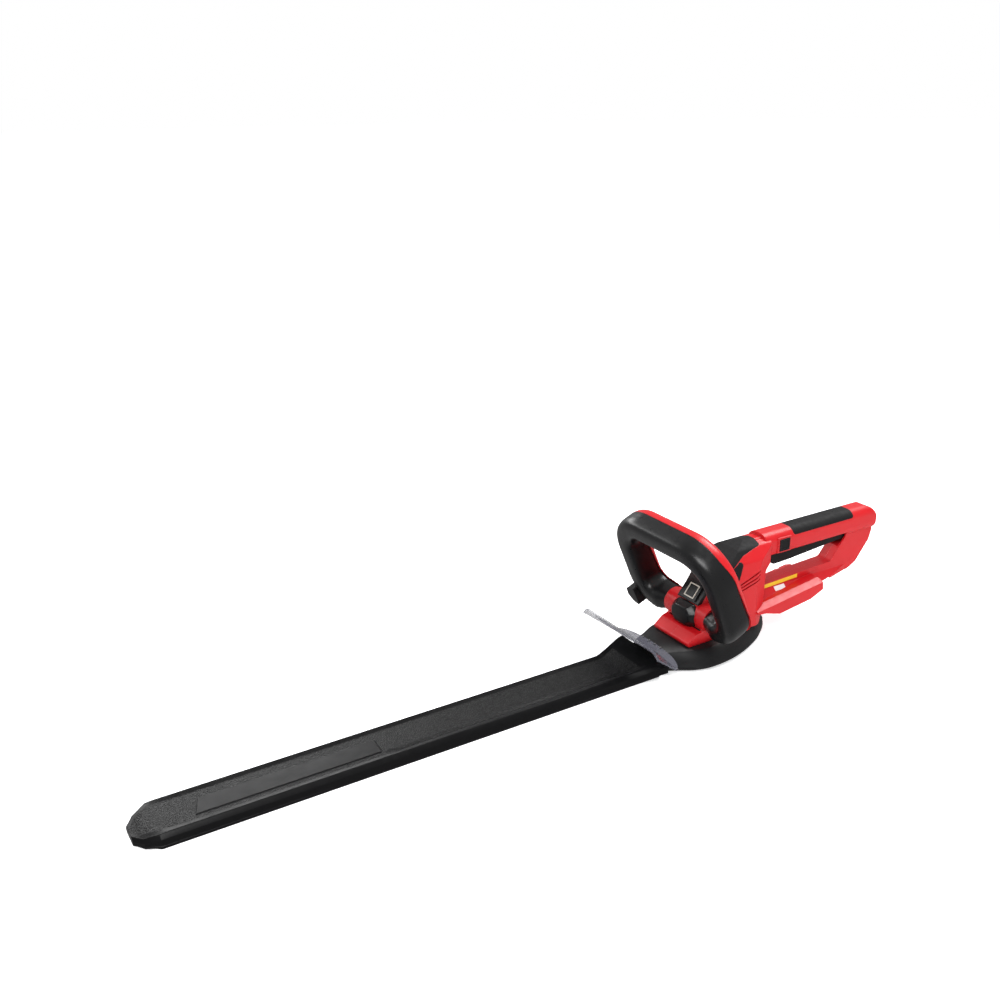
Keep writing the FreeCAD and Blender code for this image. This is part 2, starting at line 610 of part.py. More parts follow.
def build_housing():
    wall = sizes.housing_wall
    side_room = sizes.trigger_half + sizes.clearance
    outer = fuse("housing_outer", motor_volume("motor_outer", 0, 6), handle_frame("handle_outer"),
                 foot_volume(),
                 cylinder("collar_ring", "collar_radius", "2 * collar_outer",
                          "collar_place + collar_set_back", "-collar_outer", "collar_level", "Y"))
    rooms = [
        motor_volume("motor_room", wall, 3),
        prism("grip_room", "YZ", [grip_section(wall + sizes.skin)], "150", "grip_end - 10", 9),
        prism("bar_room", "XZ", [[(192, 47.5), (288, 56), (338, 58.5), (338, 61.5), (192, 61)]],
              "-12", "12"),
        prism("trigger_room", "XZ",
              [[(199, 82), (240, 82), (367, 97), (367, 123), (330, 128), (199, 133)]],
              str(-side_room), str(side_room)),
        in_foot("foot_channel", sizes.channel_start, -sizes.channel_half, -8, "foot_length",
                "2 * channel_half", "channel_depth + 8"),
    ]
    nose = nose_volume()
    cap_edge = [(112, 118), (112, 150), (178, 150), (175, 137), (160, 134.5), (140, 130.4), (117, 120.2)]
    panel_edge = [(106, 108), (116, 119), (140, 129.5), (126, 102)]
    cover_edge = [(62, 75.2), (74, 100), (102, 124), (109, 117), (97, 101), (84, 86), (77, 75.2)]
    motor_core = motor_volume("motor_core", sizes.skin, 4)
    motor_outside = doc.getObject("motor_outer")
    cap = skin_region("motor_cap", motor_outside, motor_core, cap_edge, "-40", "40")
    left_panel = skin_region("left_side_panel", motor_outside, motor_core, panel_edge, "-45", "-10")
    right_panel = skin_region("right_side_panel", motor_outside, motor_core, panel_edge, "10", "45")
    grip_outside = prism("grip_skin_outer", "YZ", [grip_section(0)], "pad_start", "pad_end", 14)
    grip_core = prism("grip_skin_core", "YZ", [grip_section(sizes.skin)], "grip_start", "grip_end", 12)
    pad_edge = [(sizes.pad_start, 136), (sizes.pad_start, 152), (sizes.pad_end, 152), (sizes.pad_end, 136)]
    left_pad = skin_region("left_grip_pad", grip_outside, grip_core, pad_edge, "-20", "0")
    right_pad = skin_region("right_grip_pad", grip_outside, grip_core, pad_edge, "0", "20")
    cover = skin_region("front_cover", motor_outside, motor_core, cover_edge, "-40", "40")
    skins = [piece("motor_cap", cap), piece("front_cover", cover), piece("left_side_panel", left_panel),
             piece("right_side_panel", right_panel), piece("left_grip_pad", left_pad),
             piece("right_grip_pad", right_pad)]
    piece("nose_cap", nose)
    bosses, drilled = housing_screws()
    vents = []
    for index in range(3):
        low, high = 85 + 4.8 * index, 94.5 + 5.6 * index
        groove = [(128, low), (166, high), (166, high + 2.4), (128, low + 2.4)]
        vents.append(prism(f"vent_{index}", "XZ", [groove], "-45", "45", 1))
    button_seat = box("button_seat", "button_place - bezel_width / 2", "-grip_half - 2",
                      "grip_level - bezel_height / 2", "bezel_width", "12", "bezel_height")
    case_room = box("case_room", "66", "-31.2", "base_top - 2", "104", "62.4", "case_top - base_top + 2")
    posts = common("housing_posts", outer, compound("housing_bosses", *bosses))
    solid = fuse("housing_with_boss", cut("housing_shell", outer, *rooms), posts,
                 box("button_boss", "button_place - bezel_width / 2 - 3", "-grip_half - 1.2",
                     "grip_level - bezel_height / 2 - 2", "bezel_width + 6", "4", "bezel_height + 4"))
    blank = cut("housing_blank", solid, case_room, button_seat, *skins, *vents, *drilled,
                doc.getObject("trigger_room"), doc.getObject("trigger_pin"), doc.getObject("nose_blank"))
    for label, side in (("left_housing", "-60"), ("right_housing", "0")):
        half = box(label + "_side", "0", side, "0", "450", "60", "200")
        piece(label, common(label, blank, half))


def nose_volume():
    """Faceted black nose between the two handle collars."""
    rings = []
    for x, half, low, high in ((78, 25, 43, 74.9), (67, 22, 42, 74.5), (60, 16, 45, 72), (55, 9, 52, 66)):
        slant = half / 3
        corners = [(-half, low + slant), (-half + slant, low), (half - slant, low), (half, low + slant),
                   (half, high - slant), (half - slant, high), (slant - half, high), (-half, high - slant)]
        vertices = [FreeCAD.Vector(x, u, v) for u, v in corners]
        rings.append(Part.makePolygon(vertices + vertices[:1]))
    blank = loft("nose_blank", rings)
    room = cylinder("nose_room", "16", "20", "67", "0", "66", "X")
    return cut("nose_cap", blank, room, box("nose_step", "70", "-30", "20", "20", "60", "case_top - 19.4"))


def housing_screws():
    """Bosses, drilled holes and the screws that pull the two housing halves together."""
    places = ((178, 118), (174, 60), (268, 58), (352, 65), (388, 98), (382, 128))
    bosses, drilled, screws = [], [], []
    for index, (x, z) in enumerate(places):
        bosses.append(cylinder(f"housing_boss_{index}", "4.6", "64", str(x), "-32", str(z), "Y"))
        drilled.append(cylinder(f"housing_drill_{index}", "1.6", "18", str(x), "-8", str(z), "Y"))
        drilled.append(cylinder(f"housing_sink_{index}", "3.4", "40", str(x), "6", str(z), "Y"))
        shank = cylinder(f"housing_shank_{index}", "1.6", "14", str(x), "-8", str(z), "Y")
        head = cylinder(f"housing_head_{index}", "3", "2.2", str(x), "6", str(z), "Y")
        screws.append(fuse(f"housing_screw_{index}", shank, head))
    piece("housing_screws", compound("housing_screws", *screws))
    return bosses, drilled


# ---------------------------------------------------------------- front loop handle
def lean_forward(feature):
    """Stands a piece, built upright over the origin, on the collars and leans it forward."""
    feature.Placement = FreeCAD.Placement(
        FreeCAD.Vector(sizes.collar_place, 0, sizes.collar_level),
        FreeCAD.Rotation(FreeCAD.Vector(0, 1, 0), -sizes.loop_lean))
    return feature


def loop_path():
    """Centre line of the loop in its own plane, from one collar round to the other."""
    half, rise, corner, foot = sizes.loop_half, sizes.loop_rise, sizes.loop_corner, sizes.loop_foot
    end = sizes.collar_outer
    bend = math.sqrt(0.5)
    edges = []
    for side in (1, -1):
        low = [(end, 0), (half - foot, 0), (half - foot + foot * bend, foot - foot * bend), (half, foot),
               (half, rise - corner), (half - corner + corner * bend, rise - corner + corner * bend),
               (half - corner, rise)]
        spots = [FreeCAD.Vector(side * u, v, 0) for u, v in low]
        edges += [Part.LineSegment(spots[0], spots[1]), Part.Arc(spots[1], spots[2], spots[3]),
                  Part.LineSegment(spots[3], spots[4]), Part.Arc(spots[4], spots[5], spots[6])]
    top = half - corner
    across = Part.LineSegment(FreeCAD.Vector(top, rise, 0), FreeCAD.Vector(-top, rise, 0))
    return edges[:4] + [across] + edges[4:]


def loop_tube(name, shrink, radius):
    """The loop's round-cornered section swept along its path."""
    body = doc.addObject("PartDesign::Body", name)
    spine = sketch_on(body, name + "_spine", "YZ", loop_path())
    front, thick = sizes.loop_depth / 2 - shrink, sizes.loop_thick / 2 - shrink
    rear = front + sizes.loop_rear
    corners = [(-front, -thick), (rear, -thick), (rear, thick), (-front, thick)]
    profile = sketch_on(body, name + "_profile", "XZ", rounded_edges(corners, radius), "-collar_outer")
    pipe = body.newObject("PartDesign::AdditivePipe", name + "_pipe")
    pipe.Profile = profile
    pipe.Spine = (spine, [])
    return body


def build_loop():
    wall = sizes.loop_wall
    tube_solid = loop_tube("loop_outer", 0, 11)
    room = loop_tube("loop_room", wall, 8)
    under = sizes.loop_rise - sizes.loop_thick / 2
    pocket = box("loop_bar_pocket", "-9", "-49", str(under - 1), "18", "98", "bar_travel + clearance + 6.5")
    tunnels, screws = [], []
    places = ((0, sizes.loop_rise), (1, 62), (-1, 62), (1, 22), (-1, 22))
    for index, (side, level) in enumerate(places):
        across = side * sizes.loop_half
        tunnels.append(cylinder(f"loop_boss_{index}", "4.4", "loop_depth + loop_rear - 4",
                                "-loop_depth / 2 + 2", str(across), str(level), "X"))
    drilled = []
    for index, (side, level) in enumerate(places):
        across = str(side * sizes.loop_half)
        drilled.append(cylinder(f"loop_drill_{index}", "1.5", "16", "-3", across, str(level), "X"))
        drilled.append(cylinder(f"loop_sink_{index}", "3.3", "20", "11", across, str(level), "X"))
        shank = cylinder(f"loop_shank_{index}", "1.5", "14", "-3", across, str(level), "X")
        head = cylinder(f"loop_head_{index}", "3", "2.2", "11", across, str(level), "X")
        screws.append(fuse(f"loop_screw_{index}", shank, head))
    shell = cut("loop_shell", tube_solid, cut("loop_hollow", room, *tunnels), pocket, *drilled)
    front_half = box("loop_front_half", "-40", "-120", "-40", "40 + loop_split", "240", "200")
    rear_half = box("loop_rear_half", "loop_split", "-120", "-40", "40", "240", "200")
    piece("loop_front_shell", lean_forward(common("loop_front_shell", shell, front_half)))
    piece("loop_rear_shell", lean_forward(common("loop_rear_shell", shell, rear_half)))
    piece("loop_screws", lean_forward(compound("loop_screws", *screws)))
    bar = prism("switch_bar", "YZ", [section([(46, under - 5), (48, under + 5.4)])], "-8", "8", 3)
    piece("switch_bar", lean_forward(bar))
    block = sizes.loop_rise - 2
    switch = box("bar_switch_body", "-5", "8", str(block), "10", "20", "10")
    piece("bar_switch", lean_forward(compound("bar_switch", switch)))
    springs = []
    for index, y in enumerate((-38, 38)):
        springs.append(tube(f"bar_spring_{index}", "3.4", "2.4", "4", "0", str(y), str(under + 11)))
    piece("bar_springs", lean_forward(compound("bar_springs", *springs)))
    stop_edge = [(88, -17), (100, -15), (108, -6), (108, 5), (100, 11), (90, 11)]
    stop = prism("side_stop_block", "YZ", [stop_edge], "-24", "-4", 2)
    piece("side_stop", lean_forward(cut("side_stop", stop, loop_tube("loop_beside_stop", 0, 11))))



# ---------------------------------------------------------------- switches
def build_switches():
    side = sizes.trigger_half
    level = "grip_level - 13"
    pivot_x, pivot_z = sizes.trigger_pivot, number(level)
    edge = [(204, 102), (213, 95.5), (238, 96), (350, 104.5), (358, 109), (358, 116), (346, 120), (216, 116),
            (206, 111)]
    pin_hole = circle(pivot_x, pivot_z, number("2 + running_gap"))
    trigger = prism("trigger", "XZ", [rounded_edges(edge, 5) + pin_hole], str(-side), str(side))
    piece("trigger", trigger)
    piece("trigger_pin", cylinder("trigger_pin", "2", "23", str(pivot_x), "-11.5", level, "Y"))
    piece("trigger_switch", box("trigger_switch", "222", "-6", "grip_level + 1.6", "28", "12", "10"))
    leaf = [(262, 129), (262, 135), (263.2, 135), (263.2, 130.2), (300, 126.2), (300, 125)]
    piece("trigger_spring", prism("trigger_spring", "XZ", [leaf], "-4", "4"))
    ring = box("button_ring_block", "button_place - bezel_width / 2", "-grip_half - 2",
               "grip_level - bezel_height / 2", "bezel_width", "4", "bezel_height")
    hole = box("button_ring_hole", "button_place - button_width / 2 - 0.3", "-grip_half - 3",
               "grip_level - button_width / 2 - 0.3", "button_width + 0.6", "8", "button_width + 0.6")
    piece("button_bezel", cut("button_bezel", ring, hole))
    piece("lock_button", box("lock_button", "button_place - button_width / 2", "-grip_half - 1.6",
                             "grip_level - button_width / 2", "button_width", "6", "button_width"))


# ---------------------------------------------------------------- battery foot and electronics
def build_electrics():
    room, gap = sizes.channel_half, sizes.rail_gap
    start = sizes.channel_start
    length = sizes.foot_length - start - 19
    piece("left_battery_rail", in_foot("left_battery_rail", start + 17, -room, 0.6, length, room - gap, 2.4))
    piece("right_battery_rail", in_foot("right_battery_rail", start + 17, gap, 0.6, length, room - gap, 2.4))
    block = in_foot("terminal_body", start + 1, -20, 0.6, 12, 40, 7)
    blades, slots = [], []
    for index, y in enumerate((-15, -5, 5, 15)):
        slots.append(in_foot(f"terminal_slot_{index}", start + 5, y - 0.4, 1.6, 9, 0.8, 5))
        blades.append(in_foot(f"terminal_blade_{index}", start + 5, y - 0.4, 1.6, 22, 0.8, 5))
    piece("terminal_block", cut("terminal_block", block, *slots))
    piece("terminal_blades", compound("terminal_blades", *blades))
    piece("control_board", box("control_board", "200", "-11", "54", "60", "22", "1.6"))
    piece("board_heat_sink", box("board_heat_sink", "208", "-10", "55.6", "30", "20", "5"))


def build_badge():
    """Plain plate and frame on the slope above the nose."""
    slope = FreeCAD.Rotation(FreeCAD.Vector(0, 1, 0), -51.3)
    corner = FreeCAD.Vector(70, 0, 75.5)
    plates = []
    for name, start, along, half, low, thick in (("badge_plate", 2.5, 24, 13, 0.05, 2),
                                                 ("badge_frame_block", 4.5, 19, 9, 2.05, 0.6),
                                                 ("badge_frame_hole", 6, 16, 7.5, 1.95, 1)):
        block = doc.addObject("Part::Box", name)
        bind(block, Length=along, Width=2 * half, Height=thick)
        foot = FreeCAD.Vector(start, -half, low)
        block.Placement = FreeCAD.Placement(corner + slope.multVec(foot), slope)
        plates.append(block)
    piece("badge_plate", plates[0])
    piece("badge_frame", cut("badge_frame", plates[1], plates[2]))


build_sheath()
build_blades()
build_drive()
build_base()
build_guard()
build_switches()
build_housing()
build_loop()
build_electrics()
build_badge()

# ---------------------------------------------------------------- check and write
doc.recompute()
faults = []
for feature in doc.Objects:
    if "Invalid" in feature.State or "Error" in feature.State:
        faults.append(f"{feature.Label}: {feature.State}")
for feature in pieces:
    if feature.Shape.isNull() or not feature.Shape.isValid():
        faults.append(f"{feature.Label}: bad shape")
if faults:
    raise RuntimeError("; ".join(faults))
os.makedirs("parts", exist_ok=True)
for feature in pieces:
    feature.Shape.exportStep(f"parts/{feature.Label}.step")
    bounds = feature.Shape.BoundBox
    print(f"{feature.Label:24s} solids {len(feature.Shape.Solids)} volume {feature.Shape.Volume:10.1f} "
          f"x {bounds.XMin:7.1f} {bounds.XMax:7.1f} y {bounds.YMin:6.1f} {bounds.YMax:6.1f} "
          f"z {bounds.ZMin:6.1f} {bounds.ZMax:6.1f}")
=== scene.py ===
import math

import bmesh
import bpy
from mathutils import Euler, Matrix, Vector


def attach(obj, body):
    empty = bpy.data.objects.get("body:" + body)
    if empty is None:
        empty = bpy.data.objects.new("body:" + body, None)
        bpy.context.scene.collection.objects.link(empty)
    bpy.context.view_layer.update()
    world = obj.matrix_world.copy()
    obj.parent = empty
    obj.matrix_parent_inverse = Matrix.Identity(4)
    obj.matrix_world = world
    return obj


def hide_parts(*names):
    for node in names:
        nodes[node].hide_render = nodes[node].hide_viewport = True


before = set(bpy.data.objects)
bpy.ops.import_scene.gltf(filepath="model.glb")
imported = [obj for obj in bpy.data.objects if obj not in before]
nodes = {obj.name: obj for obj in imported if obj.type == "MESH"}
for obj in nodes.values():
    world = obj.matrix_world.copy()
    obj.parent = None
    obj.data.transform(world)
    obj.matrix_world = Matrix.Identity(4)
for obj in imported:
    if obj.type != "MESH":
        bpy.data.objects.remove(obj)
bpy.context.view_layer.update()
mm = 0.001

surfaceSettings = {
    "driftDetail": 3.0, "smearDetail": 4.0, "grainDetail": 3.0, "grainRoughness": 0.6,
    "pebbleSmooth": 0.35, "pebbleRandom": 0.95, "pebbleRim": 0.6,
    # cosines between the rounded normal and the flat one, where an edge starts to look worn and where it
    # is fully worn
    "edgeSamples": 4, "wornFrom": 0.995, "wornFull": 0.86,
    # the part of the smudge noise that is spread over the whole range of roughness
    "smudgeFrom": 0.3, "smudgeTo": 0.7,
}


def linear(hexColour):
    # sRGB hex to the linear values that the shaders take
    parts = [int(hexColour[i:i + 2], 16) / 255 for i in (1, 3, 5)]
    return [p / 12.92 if p <= 0.04045 else ((p + 0.055) / 1.055) ** 2.4 for p in parts] + [1.0]


def addNode(tree, kind, settings=None, links=None):
    # a setting is a socket's value or the node's own property; a link gives the output that feeds a socket
    node = tree.nodes.new(kind)
    for name, value in (settings or {}).items():
        if isinstance(name, int) or name in node.inputs:
            node.inputs[name].default_value = value
        else:
            setattr(node, name, value)
    for name, source in (links or {}).items():
        tree.links.new(source, node.inputs[name])
    return node


def startMaterial(name, shader):
    material = bpy.data.materials.new(name)
    material.use_nodes = True
    tree = material.node_tree
    tree.nodes.clear()
    principled = addNode(tree, "ShaderNodeBsdfPrincipled", shader)
    addNode(tree, "ShaderNodeOutputMaterial", links={"Surface": principled.outputs["BSDF"]})
    return material, tree, principled, addNode(tree, "ShaderNodeTexCoord").outputs["Object"]


def grainHeight(tree, place, look):
    # the height of the surface's own grain, from 0 to 1, in the pattern that the process leaves
    s = surfaceSettings
    size = 1 / (look["grain"] * mm)
    if look["pattern"] == "pebble":
        cells = addNode(tree, "ShaderNodeTexVoronoi",
                        {"feature": "SMOOTH_F1", "Scale": size, "Smoothness": s["pebbleSmooth"],
                         "Randomness": s["pebbleRandom"]}, {"Vector": place})
        return addNode(tree, "ShaderNodeMapRange", {"From Max": s["pebbleRim"], "To Min": 1.0, "To Max": 0.0},
                       {"Value": cells.outputs["Distance"]}).outputs["Result"]
    if look["pattern"] == "brushed":
        drawn = addNode(tree, "ShaderNodeMapping", {"Scale": look["stretch"]}, {"Vector": place})
        place = drawn.outputs["Vector"]
    noise = addNode(tree, "ShaderNodeTexNoise",
                    {"Scale": size, "Detail": s["grainDetail"], "Roughness": s["grainRoughness"]},
                    {"Vector": place})
    return noise.outputs["Fac"]


def finish(name, shader, look):
    # colour drift, smudged roughness, grain that is tinted lighter on its high points (random tone on fine
    # noise, painted glints on pebbles), and soft worn edges, all from sizes in millimetres
    s = surfaceSettings
    material, tree, principled, place = startMaterial(name, shader)
    drift = addNode(tree, "ShaderNodeTexNoise",
                    {"Scale": 1 / (look["drift"] * mm), "Detail": s["driftDetail"]}, {"Vector": place})
    tone = addNode(tree, "ShaderNodeMix",
                   {"data_type": "RGBA", 6: linear(look["colour"]), 7: linear(look["shade"])},
                   {0: drift.outputs["Fac"]})
    height = grainHeight(tree, place, look)
    # grain tone and painted glints: the colour turns lighter where the grain stands highest, which reads as
    # random tone on fine noise and paints glints on the tops of pebbles
    share = addNode(tree, "ShaderNodeMath", {"operation": "MULTIPLY", 1: look["grainToneAndPaintedGlintShare"]}, {0: height})
    grainToneAndPaintedGlint = addNode(tree, "ShaderNodeMix", {"data_type": "RGBA", 7: linear(look["grainToneAndPaintedGlint"])},
                    {0: share.outputs[0], 6: tone.outputs[2]})
    rounded = addNode(tree, "ShaderNodeBevel", {"samples": s["edgeSamples"], "Radius": look["edge"] * mm})
    flat = addNode(tree, "ShaderNodeNewGeometry")
    match = addNode(tree, "ShaderNodeVectorMath", {"operation": "DOT_PRODUCT"},
                    {0: rounded.outputs["Normal"], 1: flat.outputs["Normal"]})
    worn = addNode(tree, "ShaderNodeMapRange",
                   {"From Min": s["wornFrom"], "From Max": s["wornFull"], "To Max": look["wear"]},
                   {"Value": match.outputs["Value"]})
    scuffs = addNode(tree, "ShaderNodeTexNoise",
                     {"Scale": 1 / (look["smear"] * mm), "Detail": s["smearDetail"]}, {"Vector": place})
    patchy = addNode(tree, "ShaderNodeMath", {"operation": "MULTIPLY"},
                     {0: worn.outputs["Result"], 1: scuffs.outputs["Fac"]})
    edged = addNode(tree, "ShaderNodeMix", {"data_type": "RGBA", 7: linear(look["worn"])},
                    {0: patchy.outputs[0], 6: grainToneAndPaintedGlint.outputs[2]})
    tree.links.new(edged.outputs[2], principled.inputs["Base Color"])
    low, high = look["rough"]
    smudge = addNode(tree, "ShaderNodeMapRange",
                     {"From Min": s["smudgeFrom"], "From Max": s["smudgeTo"], "To Min": low, "To Max": high},
                     {"Value": scuffs.outputs["Fac"]})
    tree.links.new(smudge.outputs["Result"], principled.inputs["Roughness"])
    bump = addNode(tree, "ShaderNodeBump", {"Strength": 1.0, "Distance": look["depth"] * mm},
                   {"Height": height, "Normal": rounded.outputs["Normal"]})
    tree.links.new(bump.outputs["Normal"], principled.inputs["Normal"])
    return material


# Sizes are in millimetres. Real moulded grain and tool scratches are 0.05 to 0.3 mm wide, too fine to show
# at the camera's distance, so they are drawn as coarse as each grain below says.
plasticLooks = {
    # glass-filled nylon, moulded with a fine spark grain: deep red with a soft satin gleam
    "redNylon": dict(
        colour="#C4121A", shade="#B60E16", grainToneAndPaintedGlint="#D02028", grainToneAndPaintedGlintShare=0.18, worn="#D9696A", wear=0.35,
        drift=70, smear=9, rough=(0.30, 0.40), pattern="noise", grain=0.45, depth=0.018, edge=0.9),
    # the same nylon in black, smoother where the front handle is gripped: broad soft highlights
    "blackNylon": dict(
        colour="#0E0E0F", shade="#09090A", grainToneAndPaintedGlint="#19191B", grainToneAndPaintedGlintShare=0.25, worn="#4A4A4E", wear=0.4,
        drift=60, smear=8, rough=(0.27, 0.36), pattern="noise", grain=0.5, depth=0.02, edge=0.9),
    # ABS with a coarser tool-marked grain: the base and the small trim look flatter and greyer
    "blackAbs": dict(
        colour="#121213", shade="#0C0C0D", grainToneAndPaintedGlint="#1E1E20", grainToneAndPaintedGlintShare=0.3, worn="#56565A", wear=0.45,
        drift=50, smear=7, rough=(0.40, 0.52), pattern="noise", grain=0.7, depth=0.03, edge=0.8),
    # TPE overmould with a leathery texture: dull, with small glints painted lighter on the tops of the grain
    "softTpe": dict(
        colour="#141415", shade="#0F0F10", grainToneAndPaintedGlint="#232325", grainToneAndPaintedGlintShare=0.35, worn="#3C3C3F", wear=0.3,
        drift=40, smear=6, rough=(0.55, 0.68), pattern="pebble", grain=1.1, depth=0.09, edge=0.8),
    # polypropylene, moulded smooth and a little waxy: the sheath's rails, walls and plain panel
    "smoothPolypropylene": dict(
        colour="#0A0A0B", shade="#060607", grainToneAndPaintedGlint="#131314", grainToneAndPaintedGlintShare=0.2, worn="#45454A", wear=0.5,
        drift=80, smear=12, rough=(0.28, 0.40), pattern="noise", grain=0.8, depth=0.02, edge=0.7),
    # the same polypropylene over an etched tool, a little coarser than the real pebbles so that they show:
    # dark speckle of painted glints, the tops of the pebbles painted lighter
    "pebbledPolypropylene": dict(
        colour="#0E0E0E", shade="#080808", grainToneAndPaintedGlint="#2A2A2B", grainToneAndPaintedGlintShare=0.55, worn="#45454A", wear=0.3,
        drift=80, smear=5, rough=(0.34, 0.48), pattern="pebble", grain=1.7, depth=0.32, edge=0.6),
    # glass-epoxy board under green solder mask: glossy with a faint weave
    "solderMask": dict(
        colour="#0F4A2A", shade="#0B3B21", grainToneAndPaintedGlint="#1B6A3E", grainToneAndPaintedGlintShare=0.3, worn="#B59A55", wear=0.4,
        drift=12, smear=4, rough=(0.22, 0.32), pattern="noise", grain=0.5, depth=0.02, edge=0.2),
    # printed polyester label: flat yellow with a slight orange-peel
    "yellowLabel": dict(
        colour="#E8C22A", shade="#E0B41C", grainToneAndPaintedGlint="#F2D65A", grainToneAndPaintedGlintShare=0.2, worn="#F7EFC8", wear=0.3,
        drift=9, smear=4, rough=(0.32, 0.42), pattern="noise", grain=0.5, depth=0.012, edge=0.15),
    # the same polyester unprinted: a cool off-white
    "whiteLabel": dict(
        colour="#E9E4E6", shade="#DAD2D8", grainToneAndPaintedGlint="#F7F5F6", grainToneAndPaintedGlintShare=0.2, worn="#FFFFFF", wear=0.3,
        drift=6, smear=4, rough=(0.32, 0.42), pattern="noise", grain=0.5, depth=0.012, edge=0.15),
    # the frame printed and raised on the badge: pale warm metal-effect foil
    "paleFoil": dict(
        colour="#CFC9BD", shade="#B9B2A6", grainToneAndPaintedGlint="#E4DFD4", grainToneAndPaintedGlintShare=0.25, worn="#F4F1EA", wear=0.3,
        drift=5, smear=2, rough=(0.25, 0.36), pattern="noise", grain=0.4, depth=0.012, edge=0.15),
    # wool felt: fuzzy and matt
    "woolFelt": dict(
        colour="#55524E", shade="#45423F", grainToneAndPaintedGlint="#7A7670", grainToneAndPaintedGlintShare=0.5, worn="#6A6660", wear=0.2,
        drift=5, smear=2, rough=(0.85, 0.95), pattern="noise", grain=0.35, depth=0.12, edge=0.4),
}

# stretch is the noise's scale along each axis: the smallest number is the way the scratches run
metalLooks = {
    # laser-cut spring steel, ground on the flats: long fine scratches and a faint blue-grey
    "groundSteel": dict(
        colour="#9A9DA2", shade="#85888D", grainToneAndPaintedGlint="#B5B8BC", grainToneAndPaintedGlintShare=0.4, worn="#D2D4D8", wear=0.6,
        drift=40, smear=10, rough=(0.25, 0.38), pattern="brushed", grain=0.5, stretch=(0.04, 1.0, 1.0),
        depth=0.012, edge=0.25),
    # turned and hobbed gear steel with a film of oil: darker, with tool marks
    "turnedSteel": dict(
        colour="#7E7F82", shade="#6A6B6E", grainToneAndPaintedGlint="#9C9DA0", grainToneAndPaintedGlintShare=0.4, worn="#B8BABD", wear=0.6,
        drift=14, smear=5, rough=(0.22, 0.34), pattern="brushed", grain=0.4, stretch=(1.0, 1.0, 0.1),
        depth=0.012, edge=0.25),
    # zinc-plated screw steel: pale, slightly cloudy
    "zincPlate": dict(
        colour="#8F9092", shade="#77787A", grainToneAndPaintedGlint="#A6A7A9", grainToneAndPaintedGlintShare=0.35, worn="#C2C3C5", wear=0.5,
        drift=5, smear=2, rough=(0.32, 0.46), pattern="noise", grain=0.3, depth=0.012, edge=0.2),
    # pressure die-cast aluminium: soft grey, fine casting skin
    "dieCast": dict(
        colour="#A9AAAC", shade="#98999B", grainToneAndPaintedGlint="#BCBDBF", grainToneAndPaintedGlintShare=0.35, worn="#D4D5D6", wear=0.5,
        drift=22, smear=6, rough=(0.42, 0.56), pattern="noise", grain=0.6, depth=0.03, edge=0.6),
    # sintered bronze bush: brown-gold with open pores
    "sinteredBronze": dict(
        colour="#8C6A3C", shade="#76562E", grainToneAndPaintedGlint="#A88652", grainToneAndPaintedGlintShare=0.5, worn="#C8A870", wear=0.5,
        drift=6, smear=2, rough=(0.40, 0.52), pattern="pebble", grain=0.5, depth=0.03, edge=0.25),
    # tin-plated brass contact: pale gold and bright
    "tinnedBrass": dict(
        colour="#C9B37C", shade="#B8A068", grainToneAndPaintedGlint="#DCCB9C", grainToneAndPaintedGlintShare=0.3, worn="#E6DAB4", wear=0.5,
        drift=6, smear=2, rough=(0.20, 0.32), pattern="brushed", grain=0.3, stretch=(0.1, 1.0, 1.0),
        depth=0.008, edge=0.15),
    # ferrite magnet: charcoal ceramic, matt and slightly gritty
    "ferrite": dict(
        colour="#2A2A2C", shade="#222224", grainToneAndPaintedGlint="#3C3C3F", grainToneAndPaintedGlintShare=0.5, worn="#5A5A5E", wear=0.5,
        drift=8, smear=3, rough=(0.55, 0.70), pattern="pebble", grain=0.5, depth=0.03, edge=0.4),
}

# how strongly each plastic mirrors the lights; those not named take the last value
plasticShine = {
    "redNylon": 0.42, "blackNylon": 0.38, "softTpe": 0.2, "blackAbs": 0.28, "smoothPolypropylene": 0.15,
    "pebbledPolypropylene": 0.2, "others": 0.35,
}
plasticIor = 1.5
ferriteMetallic = 0.35

materials = {}
for name, look in plasticLooks.items():
    shine = plasticShine.get(name, plasticShine["others"])
    materials[name] = finish(name, {"IOR": plasticIor, "Specular IOR Level": shine}, look)
for name, look in metalLooks.items():
    materials[name] = finish(name, {"Metallic": ferriteMetallic if name == "ferrite" else 1.0}, look)


